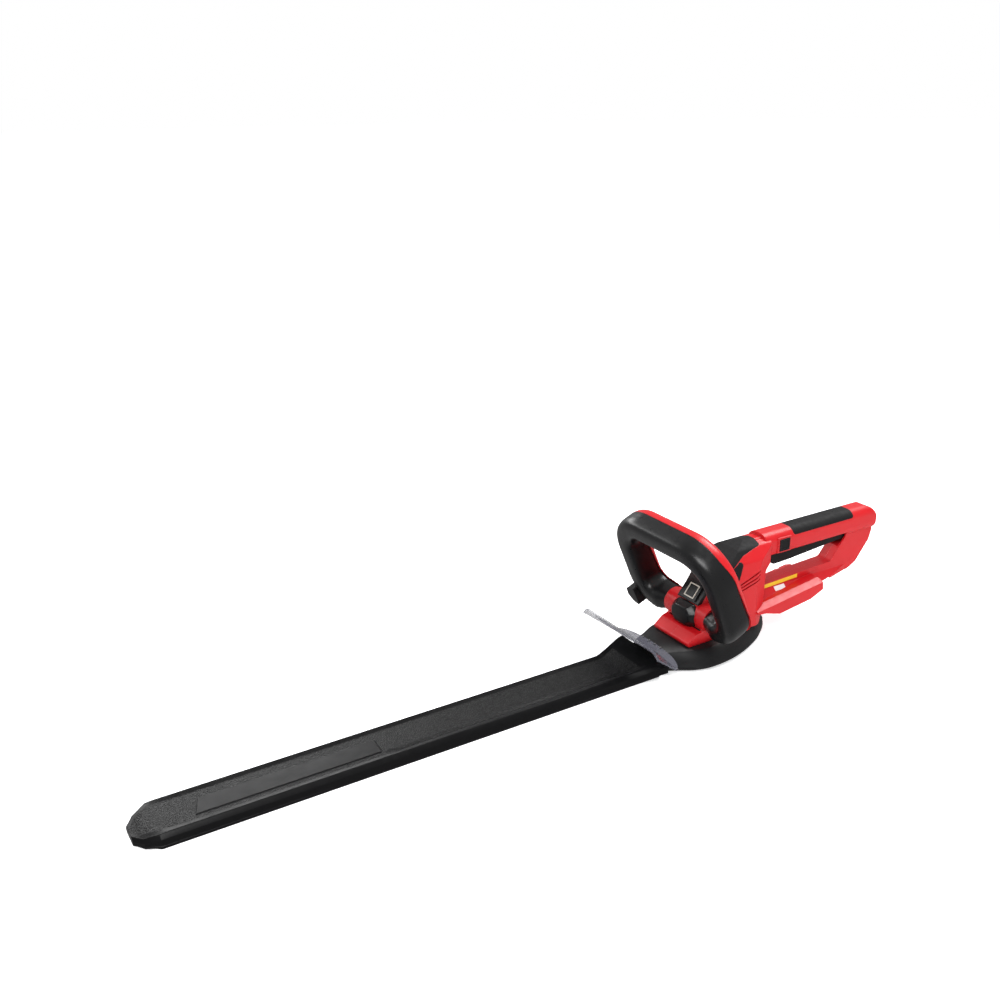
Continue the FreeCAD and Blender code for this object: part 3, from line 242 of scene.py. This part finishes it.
def clearPolycarbonate():
    # clear moulded polycarbonate, lightly smoked: you see through it, greyer where two walls overlap, and
    # scratched; the scratches are wider than real ones so that they show
    look = {
        "colour": "#4A4A52", "pale": "#70707B", "clear": 0.55, "cloudy": 0.68, "rough": (0.08, 0.22),
        "scratch": 0.8, "scratchDetail": 4.0, "stretch": (1.0, 0.06, 1.0), "smear": 16, "smearDetail": 3.0,
        "depth": 0.01, "strength": 0.5,
    }
    material, tree, principled, place = startMaterial(
        "clearPolycarbonate", {"IOR": 1.585, "Specular IOR Level": 0.5})
    drawn = addNode(tree, "ShaderNodeMapping", {"Scale": look["stretch"]}, {"Vector": place})
    scratches = addNode(tree, "ShaderNodeTexNoise",
                        {"Scale": 1 / (look["scratch"] * mm), "Detail": look["scratchDetail"]},
                        {"Vector": drawn.outputs["Vector"]})
    haze = addNode(tree, "ShaderNodeTexNoise",
                   {"Scale": 1 / (look["smear"] * mm), "Detail": look["smearDetail"]}, {"Vector": place})
    tone = addNode(tree, "ShaderNodeMix",
                   {"data_type": "RGBA", 6: linear(look["colour"]), 7: linear(look["pale"])},
                   {0: scratches.outputs["Fac"]})
    tree.links.new(tone.outputs[2], principled.inputs["Base Color"])
    solid = addNode(tree, "ShaderNodeMapRange",
                    {"From Min": surfaceSettings["smudgeFrom"], "From Max": surfaceSettings["smudgeTo"],
                     "To Min": look["clear"], "To Max": look["cloudy"]}, {"Value": haze.outputs["Fac"]})
    tree.links.new(solid.outputs["Result"], principled.inputs["Alpha"])
    low, high = look["rough"]
    rough = addNode(tree, "ShaderNodeMapRange", {"To Min": low, "To Max": high},
                    {"Value": haze.outputs["Fac"]})
    tree.links.new(rough.outputs["Result"], principled.inputs["Roughness"])
    bump = addNode(tree, "ShaderNodeBump", {"Strength": look["strength"], "Distance": look["depth"] * mm},
                   {"Height": scratches.outputs["Fac"]})
    tree.links.new(bump.outputs["Normal"], principled.inputs["Normal"])
    return material


materials["clearPolycarbonate"] = clearPolycarbonate()
print("materials ready:", len(materials))

# the finish that each CAD part takes; those that a finer piece stands for keep theirs too
partFinish = {
    "redNylon": ["left_housing", "right_housing", "loop_rear_shell"],
    "blackNylon": ["front_cover", "badge_plate", "switch_bar", "nose_cap", "loop_front_shell"],
    "blackAbs": ["left_side_panel", "right_side_panel", "side_stop", "trigger", "lock_button",
                 "button_bezel", "cooling_fan", "bar_switch", "trigger_switch", "left_battery_rail",
                 "right_battery_rail", "terminal_block", "base_cover"],
    "softTpe": ["motor_cap", "left_grip_pad", "right_grip_pad"],
    "smoothPolypropylene": ["sheath_tray", "sheath_cover"],
    "groundSteel": ["lower_blade", "upper_blade", "guide_bar", "trigger_spring", "bar_springs"],
    "turnedSteel": ["blade_sleeves", "crank_shaft", "lower_cam", "upper_cam", "drive_gear", "pinion",
                    "motor_can", "rotor_core", "motor_shaft", "trigger_pin"],
    "zincPlate": ["blade_bolts", "blade_nuts", "base_screws", "guard_screws", "housing_screws",
                  "loop_screws"],
    "dieCast": ["gear_case", "gear_case_lid", "board_heat_sink"],
    "sinteredBronze": ["lower_crank_bearing", "upper_crank_bearing"],
    "tinnedBrass": ["terminal_blades"],
    "ferrite": ["motor_magnets"],
    "solderMask": ["control_board"],
    "woolFelt": ["blade_wiper"],
    "paleFoil": ["badge_frame"],
    "clearPolycarbonate": ["hand_guard"],
}
for finishName, partNames in partFinish.items():
    for partName in partNames:
        nodes[partName].data.materials.clear()
        nodes[partName].data.materials.append(materials[finishName])

mergeDistance = 0.00001


def makePiece(name, points, faces, finishes, body, faceFinish=None, replaced=(), sharp=32):
    # points are in millimetres in the part's own frame; edges sharper than the angle stay crisp
    mesh = bpy.data.meshes.new(name)
    mesh.from_pydata([Vector(p) * mm for p in points], [], faces)
    for finishName in finishes:
        mesh.materials.append(materials[finishName])
    if faceFinish:
        mesh.polygons.foreach_set("material_index", faceFinish)
    work = bmesh.new()
    work.from_mesh(mesh)
    bmesh.ops.remove_doubles(work, verts=work.verts, dist=mergeDistance)
    bmesh.ops.recalc_face_normals(work, faces=work.faces)
    work.to_mesh(mesh)
    work.free()
    mesh.shade_smooth()
    mesh.set_sharp_from_angle(angle=math.radians(sharp))
    piece = bpy.data.objects.new(name, mesh)
    bpy.context.scene.collection.objects.link(piece)
    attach(piece, body)
    if replaced:
        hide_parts(*replaced)
    return piece


def softenEdges(piece, width, segments, angle):
    soft = piece.modifiers.new("softEdges", "BEVEL")
    soft.width, soft.segments, soft.limit_method = width * mm, segments, "ANGLE"
    soft.angle_limit = math.radians(angle)


def joinRings(rings, closed=True, capped=True):
    # quads between rings that have the same number of points, with flat caps at both ends
    points, faces = [p for ring in rings for p in ring], []
    count = len(rings[0])
    for row in range(len(rings) - 1):
        for column in range(count if closed else count - 1):
            here, there = row * count + column, row * count + (column + 1) % count
            faces.append((here, there, there + count, here + count))
    if capped:
        faces.append(tuple(range(count))[::-1])
        faces.append(tuple(range((len(rings) - 1) * count, len(rings) * count)))
    return points, faces


def curveThrough(stops, place, smooth=True):
    # a value between stops given as (place, value), level before the first and after the last
    if place <= stops[0][0]:
        return stops[0][1]
    for (first, low), (last, high) in zip(stops, stops[1:]):
        if place <= last:
            share = (place - first) / (last - first)
            if smooth:
                share = share * share * (3 - 2 * share)
            return low + (high - low) * share
    return stops[-1][1]


sheathSettings = {
    # along the sheath as (x, value), from the blunt tip to the mouth at 0
    "halfWidth": ((-658, 14), (-649, 27), (-634, 35), (-52, 35), (0, 50)),
    "railLevel": ((-658, 8.6), (-628, 15.5), (-58, 15.5), (0, 24)),
    "kneeLevel": ((-52, 1.6), (0, 10)),
    "sideLevel": ((-658, 5.6), (-632, 10.6), (-52, 10.6), (0, 21)),
    "floorLevel": ((-658, 8.4), (-636, 14.9), (-600, 14.0), (-50, 14.0), (-10, 23.2)),
    "grooveShare": ((-378, 0), (-375, 1), (-60, 1), (-20, 0)),
    "noseRings": (-658, -656.8, -654, -649, -642, -634, -628, -618, -606),
    "mouthRings": (-62, -54, -50, -44, -36, -28, -20, -12, -5, 0), "ringGap": 24, "lastRing": -70,
    "panelSkip": 20, "endSkip": 15,
    # the lip under the wall stands out further at both ends than between these two places
    "footHalf": 35, "footLevels": (1.6, 3.4), "lip": 0.7, "lipBetween": 0.2, "lipPlaces": (-460, -146),
    # the knee where the mouth flares out, and the hip above it where the wall turns up
    "kneeIn": 8, "kneeLow": 3.8, "hipLow": 4.2, "hipRise": 2,
    # each rail's top, as distances in from the side, and the slope down to the channel
    "sideIn": 0.4, "bevelIn": 3.2, "bevelDrop": 1.2, "railFrom": 4.8, "railTo": 6.6, "railSlope": 4.4,
    # across the channel from the left rail to the right one, as shares of its half width
    "columns": (-1.0, -0.94, -0.82, -0.72, -0.69, -0.5, -0.2, 0.1, 0.38, 0.41, 0.6, 0.72, 0.86, 1.0),
    # the plain raised panel, whose two ends slant
    "panel": (-588, -381), "panelColumns": (3, 8), "panelShares": (-0.71, 0.395), "panelRise": 0.9,
    "panelSlant": (0.36, 0.08), "panelLead": 3, "panelStep": 1.2, "panelRun": 8,
    "grooveShares": (-0.95, -0.8), "grooveDepth": 1.6, "pebblesEnd": -30,
    "wall": 1.2, "softEdge": 0.7, "softSegments": 2, "softAngle": 24,
}


def sheathPlaces():
    # rings close together at the nose, the panel's ends and the mouth, and evenly spaced between
    s = sheathSettings
    start, end = s["panel"]
    lead, step, run = s["panelLead"], s["panelStep"], s["panelRun"]
    places = list(s["noseRings"]) + [start - lead, start, start + step, start + run]
    places += [end - run, end - step, end, end + lead]
    places += range(start + s["panelSkip"], end - s["ringGap"] // 2, s["ringGap"])
    places += range(end + s["endSkip"], s["lastRing"], s["ringGap"])
    return sorted(set(places + list(s["mouthRings"])))


def buildSheath():
    s = sheathSettings
    start, end = s["panel"]
    lead, run = s["panelLead"], s["panelRun"]
    low, high = s["footLevels"]
    rings = []
    for x in sheathPlaces():
        half = curveThrough(s["halfWidth"], x, smooth=False)
        foot = min(half, s["footHalf"])
        rail = curveThrough(s["railLevel"], x)
        knee = curveThrough(s["kneeLevel"], x, smooth=False)
        side = curveThrough(s["sideLevel"], x)
        floor = curveThrough(s["floorLevel"], x)
        lip = s["lip"] if x < s["lipPlaces"][0] or x > s["lipPlaces"][1] else s["lipBetween"]
        wall = [(foot + lip, low), (foot + lip, high),
                (max(foot, half - s["kneeIn"]), max(s["kneeLow"], knee)),
                (half, max(s["hipLow"], knee + s["hipRise"])), (half - s["sideIn"], side),
                (half - s["bevelIn"], rail - s["bevelDrop"]), (half - s["railFrom"], rail),
                (half - s["railTo"], rail)]
        inner = half - s["railTo"] - s["railSlope"]
        grooved = curveThrough(s["grooveShare"], x, smooth=False) if x > end else 0
        slanted = start - lead <= x <= start + run or end - run <= x <= end + lead
        slant = s["panelSlant"][0] if x < (start + end) / 2 else s["panelSlant"][1]
        onPanel = start + 1 <= x <= end - 1
        ring = [Vector((x, -y, z)) for y, z in wall]
        for share in s["columns"]:
            y = share * inner
            raised = s["panelRise"] if onPanel and s["panelShares"][0] <= share <= s["panelShares"][1] else 0
            sunk = 0
            if s["grooveShares"][0] < share < s["grooveShares"][1]:
                sunk = s["grooveDepth"] * grooved
            ring.append(Vector((x + (y * slant if slanted else 0), y, floor + raised - sunk)))
        ring += [Vector((x, y, z)) for y, z in reversed(wall)]
        rings.append(ring)
    points, faces = joinRings(rings, closed=False, capped=False)
    count = len(rings[0])
    # the channel's floor is pebbled, apart from the panel and the mouth
    firstColumn = len(wall)
    lastColumn = firstColumn + len(s["columns"]) - 2
    panelFrom, panelTo = (firstColumn + column for column in s["panelColumns"])
    inPebbles = []
    for index in range(len(faces)):
        row, column = divmod(index, count - 1)
        x = (rings[row][0].x + rings[row + 1][0].x) / 2
        onFloor = firstColumn <= column <= lastColumn
        onPanel = start < x < end and panelFrom <= column <= panelTo
        inPebbles.append(1 if onFloor and not onPanel and x < s["pebblesEnd"] else 0)
    # the blunt face at the tip
    faces.append(tuple(range(count))[::-1])
    inPebbles.append(0)
    sheath = makePiece("sheathShell", points, faces, ["smoothPolypropylene", "pebbledPolypropylene"],
                       "sheath", inPebbles, ["sheath_cover"], 24)
    thick = sheath.modifiers.new("wall", "SOLIDIFY")
    thick.thickness, thick.offset = s["wall"] * mm, -1.0
    softenEdges(sheath, s["softEdge"], s["softSegments"], s["softAngle"])


buildSheath()
print("sheath built")

loopSettings = {
    "place": (77, 0, 59), "lean": 23, "half": 87, "rise": 125, "corner": 46, "foot": 30,
    "collarOuter": 39, "collarSteps": (0, 6, 12), "topStep": 24, "cornerSteps": 16, "sectionPoints": 96,
    "front": 18, "rear": 23, "thick": 31, "roundness": 3.2,
    "footShare": 0.84, "footLength": 18, "footSetBack": 3,
    # how far back the seam between the black and the red shell lies, by height up the handle
    "split": ((0, 18.5), (40, 16.5), (85, 13), (112, 8.5)), "seam": 0.15,
    "softEdge": 0.6, "softSegments": 2, "softAngle": 40,
}


def loopPath():
    # centre line in the loop's own plane as (across, up), from the left collar round to the right one
    s = loopSettings
    half, rise, corner, foot, steps = s["half"], s["rise"], s["corner"], s["foot"], s["cornerSteps"]
    line = [(s["collarOuter"] + step, 0) for step in s["collarSteps"]]
    angles = [math.pi / 2 * index / steps for index in range(steps + 1)]
    line += [(half - foot + foot * math.sin(a), foot - foot * math.cos(a)) for a in angles]
    line += [(half - corner + corner * math.cos(a), rise - corner + corner * math.sin(a)) for a in angles]
    line += [(s["topStep"], rise), (0, rise)]
    return [(-across, up) for across, up in line] + [(across, up) for across, up in reversed(line[:-1])]


def loopSection(share, low, high):
    # the part of the round-cornered section between two depths, as (depth, across the tube)
    s = loopSettings
    power = 2 / s["roundness"]
    front, rear, thick = s["front"] * share, s["rear"] * share, s["thick"] / 2 * share
    section = []
    for index in range(s["sectionPoints"]):
        angle = 2 * math.pi * index / s["sectionPoints"]
        c, n = math.cos(angle), math.sin(angle)
        depth = math.copysign(abs(c) ** power, c) * (rear if c > 0 else front)
        section.append((min(high, max(low, depth)), math.copysign(abs(n) ** power, n) * thick))
    return section


def buildLoop():
    s = loopSettings
    line = loopPath()
    stand = Matrix.Translation(Vector(s["place"])) @ Matrix.Rotation(-math.radians(s["lean"]), 4, "Y")
    travelled = [0.0]
    for (y0, z0), (y1, z1) in zip(line, line[1:]):
        travelled.append(travelled[-1] + math.hypot(y1 - y0, z1 - z0))
    shells = (("loopFrontShell", -1, "blackNylon", "black_shell", "loop_front_shell"),
              ("loopRearShell", 1, "redNylon", "red_shell", "loop_rear_shell"))
    for name, side, finishName, slotName, replaced in shells:
        rings = []
        for index, (across, up) in enumerate(line):
            before, after = line[max(0, index - 1)], line[min(len(line) - 1, index + 1)]
            along = Vector((0, after[0] - before[0], after[1] - before[1])).normalized()
            normal = Vector((0, along.z, -along.y))
            # the tube narrows and sets back where it meets the collars
            reach = min(travelled[index], travelled[-1] - travelled[index]) / s["footLength"]
            share = curveThrough([(0, s["footShare"]), (1, 1)], reach)
            setBack = s["footSetBack"] * curveThrough([(0, 1), (1, 0)], reach)
            split = curveThrough(s["split"], up) * share + side * s["seam"]
            low, high = (-math.inf, split) if side < 0 else (split, math.inf)
            section = loopSection(share, low, high)
            rings.append([stand @ (Vector((depth + setBack, across, up)) + normal * offset)
                          for depth, offset in section])
        points, faces = joinRings(rings)
        shell = makePiece(name, points, faces, [finishName], "housing", None, [replaced], 40)
        softenEdges(shell, s["softEdge"], s["softSegments"], s["softAngle"])


buildLoop()
print("front handle built")

baseSettings = {
    "front": 5, "length": 202, "rim": 60, "steps": 40,
    # half width by place along the base, both as shares
    "shares": ((0, 0.53), (0.10, 0.70), (0.21, 0.91), (0.32, 1.0), (0.55, 0.9), (0.79, 0.58), (0.95, 0.22),
               (1.0, 0.06)),
    # level, share of the width, and how far the front and the rear are set in
    "levels": ((0, 0.84, 7, 30), (3, 0.93, 3, 14), (6, 1.0, 0, 0), (8, 1.005, 0, 0), (9, 0.99, 0.4, 0.5),
               (15, 0.95, 0.5, 1), (21, 0.87, 1, 5), (25.5, 0.79, 1.4, 9), (27, 0.755, 2.5, 12)),
}


def curveBetween(stops, place):
    # a curve through every stop with smooth joints, for outlines
    index = max(0, min(len(stops) - 2, sum(1 for stop in stops if stop[0] <= place) - 1))
    before, start, end = stops[max(0, index - 1)], stops[index], stops[index + 1]
    after = stops[min(len(stops) - 1, index + 2)]
    gap = end[0] - start[0]
    share = (place - start[0]) / gap
    leave = (end[1] - before[1]) / (end[0] - before[0]) * gap
    arrive = (after[1] - start[1]) / (after[0] - start[0]) * gap
    square, cube = share ** 2, share ** 3
    return ((2 * cube - 3 * square + 1) * start[1] + (cube - 2 * square + share) * leave
            + (3 * square - 2 * cube) * end[1] + (cube - square) * arrive)


def baseOutline(swell, fromFront, fromRear):
    s = baseSettings
    start = s["front"] + fromFront
    length = s["length"] - fromFront - fromRear
    side = []
    for index in range(s["steps"] + 1):
        along = index / s["steps"]
        side.append((start + length * along, s["rim"] * swell * curveBetween(s["shares"], along)))
    return side + [(x, -y) for x, y in reversed(side)]


def buildBase():
    rings = []
    for level, swell, fromFront, fromRear in baseSettings["levels"]:
        rings.append([Vector((x, y, level)) for x, y in baseOutline(swell, fromFront, fromRear)])
    points, faces = joinRings(rings)
    makePiece("baseShell", points, faces, ["blackAbs"], "housing", None, ["base_cover"], 45)


buildBase()
print("base built")

guardSettings = {
    "thick": 2.2, "bead": 3.4, "beadShares": (0.9, 0.97), "across": 56, "up": 16, "bow": 3.0,
    # x and level at the middle, and half the width, of the sheet's foot and of its rim
    "foot": (-3.0, 67, 27.2), "footSweep": 1.5, "footDrop": 3.6,
    "rim": (-45, 78, 62), "rimSweep": 3, "rimLift": 5, "cornerDrop": 12,
    "flangeLow": 27.1, "flangeTop": 29.2, "flangeDrop": 3.5, "flangeFront": 1.5, "flangeDeep": 15,
    "flangeTaper": 0.97, "leastDeep": 0.02,
}


def buildGuard():
    # a crescent sheet that leans forward, with a bead round its rim and a flange along the front of the base
    s = guardSettings
    footX, footHalf, footLevel = s["foot"]
    rimX, rimHalf, rimLevel = s["rim"]
    beadFrom, beadFull = s["beadShares"]
    rings = []
    for column in range(s["across"] + 1):
        spread = -1 + 2 * column / s["across"]
        edge = abs(spread)
        foot = Vector((footX + s["footSweep"] * edge ** 2, footHalf * spread,
                       footLevel - s["footDrop"] * edge ** 4))
        top = Vector((rimX + s["rimSweep"] * edge ** 2, rimHalf * spread,
                      rimLevel + s["rimLift"] * edge ** 2 - s["cornerDrop"] * edge ** 10))
        lean = (top - foot).normalized()
        outward = Vector((lean.z, 0, -lean.x)).normalized()
        front, back = [], []
        for step in range(s["up"] + 1):
            rise = step / s["up"]
            bow = s["bow"] * math.sin(math.pi * rise) * (1 - edge ** 2)
            wall = s["thick"] + (s["bead"] - s["thick"]) * curveThrough([(beadFrom, 0), (beadFull, 1)], rise)
            place = foot.lerp(top, rise) + outward * bow
            front.append(place - outward * (wall - s["thick"]) / 2)
            back.append(place + outward * (wall + s["thick"]) / 2)
        depth = s["flangeDeep"] * math.sqrt(max(s["leastDeep"], 1 - spread ** 2))
        drop = s["flangeDrop"] * edge ** 4
        low, high = s["flangeLow"] - drop, s["flangeTop"] - drop
        inside = foot.y * s["flangeTaper"]
        flange = [Vector((s["flangeFront"], foot.y, high)), Vector((depth, inside, high)),
                  Vector((depth, inside, low)), Vector((0, foot.y, low))]
        rings.append(front + list(reversed(back)) + flange)
    points, faces = joinRings(rings)
    makePiece("guardSheet", points, faces, ["clearPolycarbonate"], "housing", None,
              ["hand_guard"], 40)


buildGuard()
print("guard built")

noseSettings = {
    # x, half width, and the lower and upper level of each ring, from the housing forward
    "rings": ((80, 25.5, 43, 75.4), (74, 25.3, 42.2, 75.2), (66, 24, 42.6, 74.2), (58.5, 17.5, 46.5, 70.5),
              (57.6, 15.8, 48, 69)),
    "cornerShare": 0.42, "crown": 0.4, "softEdge": 1.2, "softSegments": 3, "softAngle": 16,
}


def buildNose():
    # faceted dome between the collars, its corners cut at 45 degrees
    s = noseSettings
    rings = []
    for x, half, low, high in s["rings"]:
        cut = half * s["cornerShare"]
        middle = (low + high) / 2
        ring = [(half, middle), (half, high - cut), (half - cut, high), (0, high + s["crown"])]
        ring += [(-y, z) for y, z in reversed(ring[:-1])]
        ring += [(-half, low + cut), (cut - half, low), (0, low), (half - cut, low), (half, low + cut)]
        rings.append([Vector((x, y, z)) for y, z in ring])
    points, faces = joinRings(rings)
    nose = makePiece("noseDome", points, faces, ["blackNylon"], "housing", None, ["nose_cap"],
                     28)
    softenEdges(nose, s["softEdge"], s["softSegments"], s["softAngle"])


buildNose()
print("nose built")

labelSettings = {
    # along x, then the upper and lower edge as (distance from the centre line, level) at the front end
    "warning": dict(start=187, end=257, upper=(12.15, 69.8), lower=(12.15, 64.4), rise=2.2,
                    finish="yellowLabel"),
    "rating": dict(start=213, end=232, upper=(12.6, 63.3), lower=(17.2, 58.4), rise=0, finish="whiteLabel"),
}
labelProud, labelSunk = 0.15, 0.3


def buildLabels():
    # plain labels on the left side of the lower bar, each a thin slab with its back face in the plastic
    for word, s in labelSettings.items():
        points = []
        for x in (s["start"], s["end"]):
            lift = s["rise"] if x == s["end"] else 0
            for distance, level in (s["upper"], s["lower"]):
                points.append(Vector((x, -distance - labelProud, level + lift + labelProud)))
                points.append(Vector((x, -distance + labelSunk, level + lift)))
        faces = [(0, 2, 6, 4), (1, 5, 7, 3), (0, 4, 5, 1), (2, 3, 7, 6), (0, 1, 3, 2), (4, 6, 7, 5)]
        makePiece(word + "Label", points, faces, [s["finish"]], "housing")


buildLabels()
print("labels built")

studioSettings = {
    "reach": 25.0, "floorDrop": 0.0002, "paperGlow": 0.63, "fibre": 900.0, "airLight": 0.42,
    "lens": 39.03, "sensor": 36.0, "farthest": 50.0,
    "cameraPlace": (-0.7991, -0.9746, 0.7053), "cameraTurn": (69.263, 0.753, -31.238),
    "lights": {
        # name: (place, aimed at, width, height, power)
        "topBox": ((1.25, 0.15, 1.9), (0.15, 0.0, 0.08), 1.1, 0.9, 42),
        "keyBox": ((-0.9, -1.1, 1.7), (0.0, 0.0, 0.08), 1.2, 0.9, 34),
        "rimBox": ((-0.4, 1.9, 1.0), (-0.1, 0.0, 0.05), 1.8, 0.6, 22),
    },
}


def buildFloor():
    # white paper that glows a little, so that it stays white at the edges
    s = studioSettings
    size = s["reach"]
    mesh = bpy.data.meshes.new("studioFloor")
    mesh.from_pydata([(-size, -size, 0), (size, -size, 0), (size, size, 0), (-size, size, 0)], [],
                     [(0, 1, 2, 3)])
    floor = bpy.data.objects.new("studioFloor", mesh)
    bpy.context.scene.collection.objects.link(floor)
    floor.location.z = -s["floorDrop"]
    floor.visible_glossy = False
    paper, tree, principled, place = startMaterial(
        "paperSweep", {"Roughness": 0.9, "Specular IOR Level": 0.1, "Emission Strength": s["paperGlow"]})
    fibre = addNode(tree, "ShaderNodeTexNoise", {"Scale": s["fibre"], "Detail": 2.0}, {"Vector": place})
    white = addNode(tree, "ShaderNodeMix",
                    {"data_type": "RGBA", 6: linear("#FDFDFD"), 7: linear("#F8F8F9")},
                    {0: fibre.outputs["Fac"]})
    for socket in ("Base Color", "Emission Color"):
        tree.links.new(white.outputs[2], principled.inputs[socket])
    mesh.materials.append(paper)


def buildBackdrop():
    # a white backdrop all round that neither lights the tool nor shines in it
    around = bmesh.new()
    bmesh.ops.create_icosphere(around, subdivisions=4, radius=studioSettings["reach"])
    mesh = bpy.data.meshes.new("studioBackdrop")
    around.to_mesh(mesh)
    around.free()
    backdrop = bpy.data.objects.new("studioBackdrop", mesh)
    bpy.context.scene.collection.objects.link(backdrop)
    backdrop.visible_glossy = backdrop.visible_diffuse = backdrop.visible_shadow = False
    mesh.materials.append(startMaterial(
        "whiteBackdrop", {"Base Color": linear("#000000"), "Emission Color": linear("#FFFFFF"),
                          "Emission Strength": 1.0, "Specular IOR Level": 0.0})[0])


def buildLights():
    world = bpy.data.worlds.new("studioAir")
    world.use_nodes = True
    background = world.node_tree.nodes["Background"]
    background.inputs["Color"].default_value = linear("#FFFFFF")
    background.inputs["Strength"].default_value = studioSettings["airLight"]
    bpy.context.scene.world = world
    for name, (place, aim, width, height, power) in studioSettings["lights"].items():
        lamp = bpy.data.lights.new(name, "AREA")
        lamp.shape, lamp.size, lamp.size_y, lamp.energy = "RECTANGLE", width, height, power
        holder = bpy.data.objects.new(name, lamp)
        holder.location = place
        holder.rotation_euler = (Vector(aim) - Vector(place)).to_track_quat("-Z", "Y").to_euler()
        bpy.context.scene.collection.objects.link(holder)


def placeCamera():
    s = studioSettings
    camera = bpy.data.cameras.new("viewCamera")
    camera.lens, camera.sensor_width, camera.clip_end = s["lens"], s["sensor"], s["farthest"]
    holder = bpy.data.objects.new("viewCamera", camera)
    holder.location = s["cameraPlace"]
    holder.rotation_euler = Euler([math.radians(a) for a in s["cameraTurn"]], "XYZ")
    bpy.context.scene.collection.objects.link(holder)
    bpy.context.scene.camera = holder
    bpy.context.scene.view_settings.view_transform = "Standard"


buildFloor()
buildBackdrop()
buildLights()
placeCamera()
print("studio ready")
